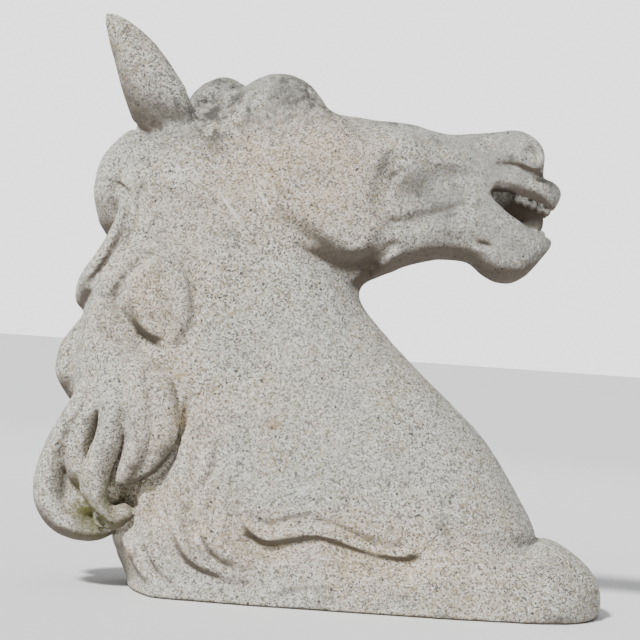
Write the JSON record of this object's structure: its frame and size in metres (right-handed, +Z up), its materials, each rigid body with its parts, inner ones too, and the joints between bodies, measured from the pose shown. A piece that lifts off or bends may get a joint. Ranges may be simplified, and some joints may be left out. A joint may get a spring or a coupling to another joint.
{
  "type": "giant chess knight",
  "caption": "Giant cast-stone chess knight: a horse's head and neck with pricked ears, open mouth and curled mane on a flat base, for a lawn or terrace.",
  "frame": {"origin": "centre of the bounding box in X and Y, on the plane of the flat base", "axes": "+Z up, +X the way the horse looks, +Y its left side"},
  "size_m": [0.6116, 0.2302, 0.599],
  "materials": {
    "cast_stone": "weathered sandy cast stone with pinholes, lichen and grime",
    "joint_mortar": "struck lime mortar",
    "spacer_mortar": "cast mortar",
    "stainless_dowel": "drawn stainless bar",
    "reinforcing_steel": "mill-scaled bar",
    "socket_steel": "turned stainless steel"
  },
  "bodies": {
    "root": {"head_and_neck": "cast_stone", "right_ear": "cast_stone", "left_ear": "cast_stone", "hanging_lock": "cast_stone", "right_ear_bed": "joint_mortar", "left_ear_bed": "joint_mortar", "hanging_lock_bed": "joint_mortar", "right_ear_dowel": "stainless_dowel", "left_ear_dowel": "stainless_dowel", "upper_lock_dowel": "stainless_dowel", "lower_lock_dowel": "stainless_dowel", "right_spine_bar": "reinforcing_steel", "left_spine_bar": "reinforcing_steel", "crest_bar": "reinforcing_steel", "throat_bar": "reinforcing_steel", "muzzle_bar": "reinforcing_steel", "jaw_bar": "reinforcing_steel", "base_ring": "reinforcing_steel", "lower_link": "reinforcing_steel", "middle_link": "reinforcing_steel", "upper_link": "reinforcing_steel", "rear_socket_crossbar": "reinforcing_steel", "front_socket_crossbar": "reinforcing_steel", "rear_lifting_socket": "socket_steel", "front_lifting_socket": "socket_steel", "spacer_blocks": "spacer_mortar"}
  },
  "joints": []
}
